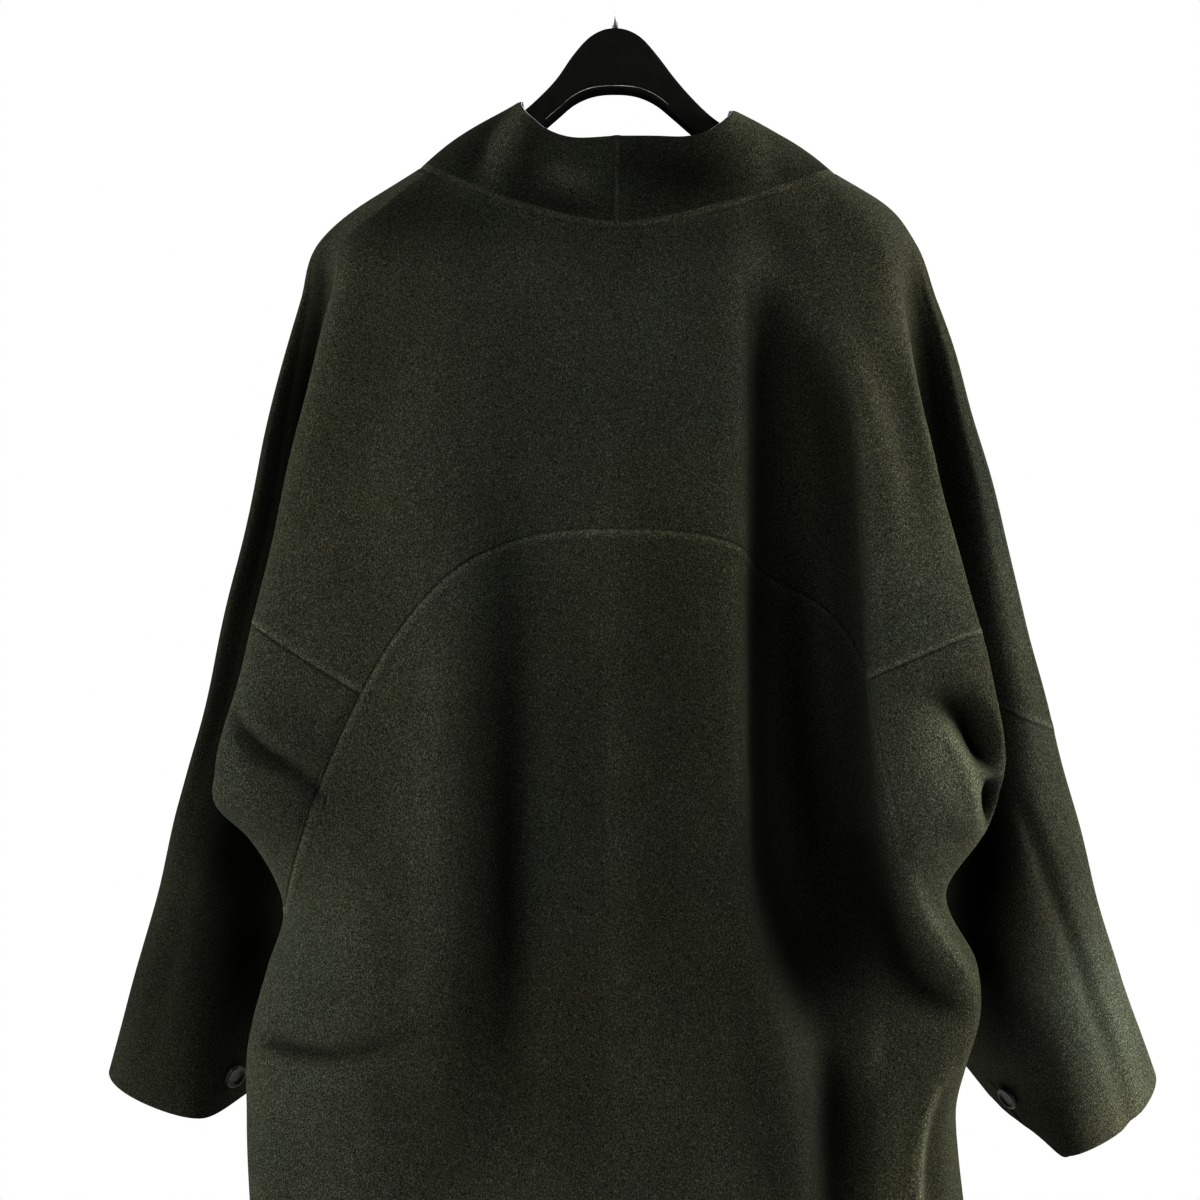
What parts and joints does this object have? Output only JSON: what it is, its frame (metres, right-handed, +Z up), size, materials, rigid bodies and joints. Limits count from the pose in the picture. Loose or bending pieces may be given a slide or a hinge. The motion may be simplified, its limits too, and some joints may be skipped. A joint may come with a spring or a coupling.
{
  "type": "reversible coat",
  "caption": "Dark olive reversible wool coat with batwing sleeves, stand collar, arched back seam and cuff buttons, hung on a black moulded hanger with its back to the viewer.",
  "frame": {"origin": "inside of the hook's crown, where the hanger rests on a rail", "axes": "+X to the right seen from behind the coat, +Y toward the coat's front, +Z up"},
  "size_m": [0.7712, 0.3147, 1.2143],
  "materials": {
    "wool": "napped double-face wool, matte",
    "button": "satin",
    "hanger": "satin",
    "hook": "bright"
  },
  "bodies": {
    "root": {"back_panel": "wool", "back_yoke": "wool", "left_front": "wool", "right_front": "wool", "left_sleeve": "wool", "right_sleeve": "wool", "left_collar": "wool", "right_collar": "wool", "left_button": "button", "right_button": "button", "hanger": "hanger", "hanger_hook": "hook"}
  },
  "joints": []
}
